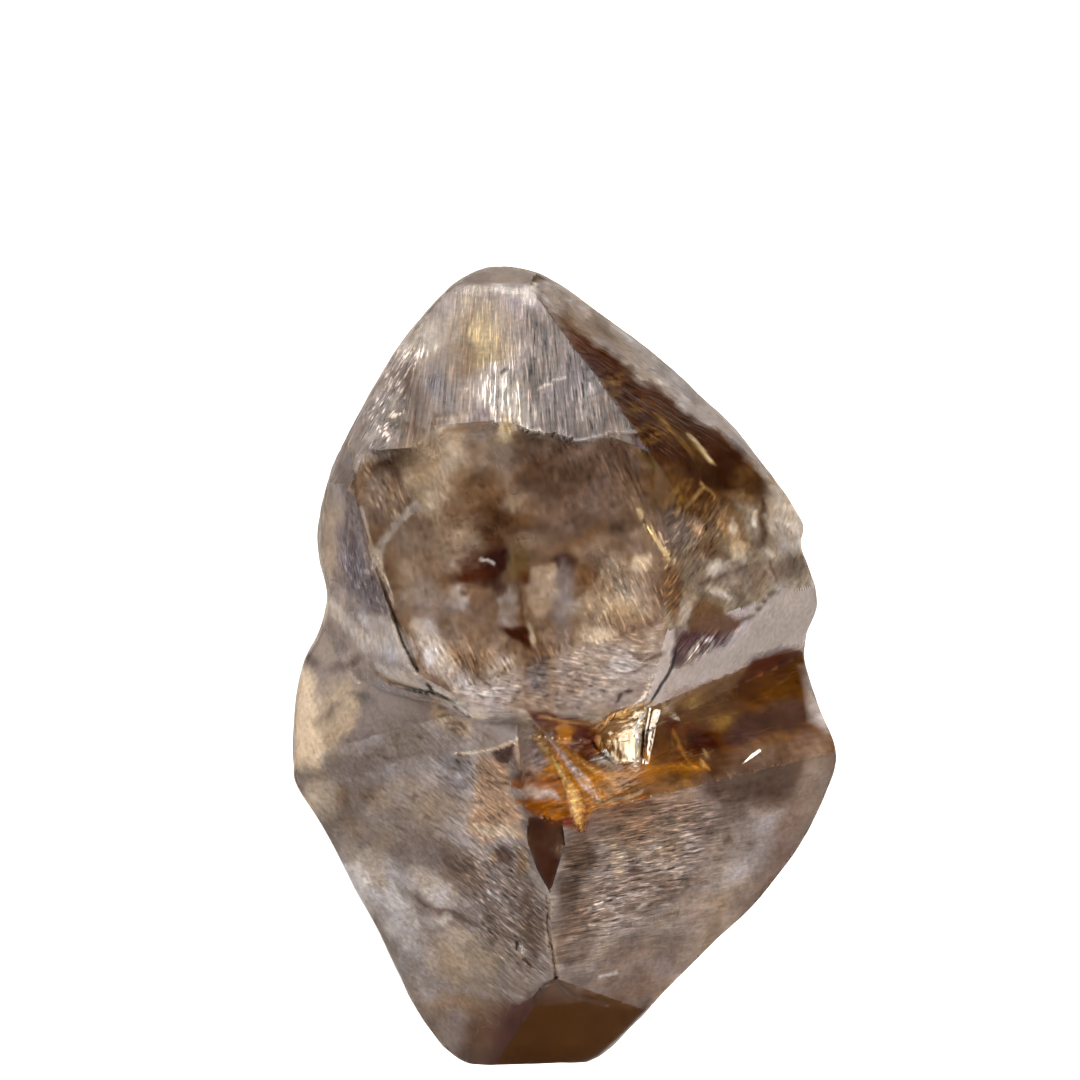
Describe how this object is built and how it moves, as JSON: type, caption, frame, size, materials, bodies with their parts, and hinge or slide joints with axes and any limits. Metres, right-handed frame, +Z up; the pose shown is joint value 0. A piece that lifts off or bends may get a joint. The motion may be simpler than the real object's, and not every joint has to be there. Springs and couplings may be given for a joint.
{
  "type": "rough diamond",
  "caption": "Loose brown rough diamond of intergrown octahedral crystals, lying on a flat back face; a specimen or an uncut gem.",
  "frame": {"origin": "centre of the bounding box's footprint, at the height of the flat back face that the stone lies on", "axes": "+Z up, out of the front of the stone; +Y along the stone, from the broken foot to the tip of the upper crystal; +X to the right of a viewer who looks down on the front with the tip at the top"},
  "size_m": [0.0068, 0.01, 0.0051],
  "materials": {
    "brown_diamond": "see-through brown diamond with etched, frosted faces",
    "iron_stain": "iron-stained fracture sealed in the stone",
    "dark_cloud": "dark cloud sealed in the stone",
    "feather": "silvery fracture sealed in the stone"
  },
  "bodies": {
    "root": {"rough_diamond": "brown_diamond"}
  },
  "joints": []
}
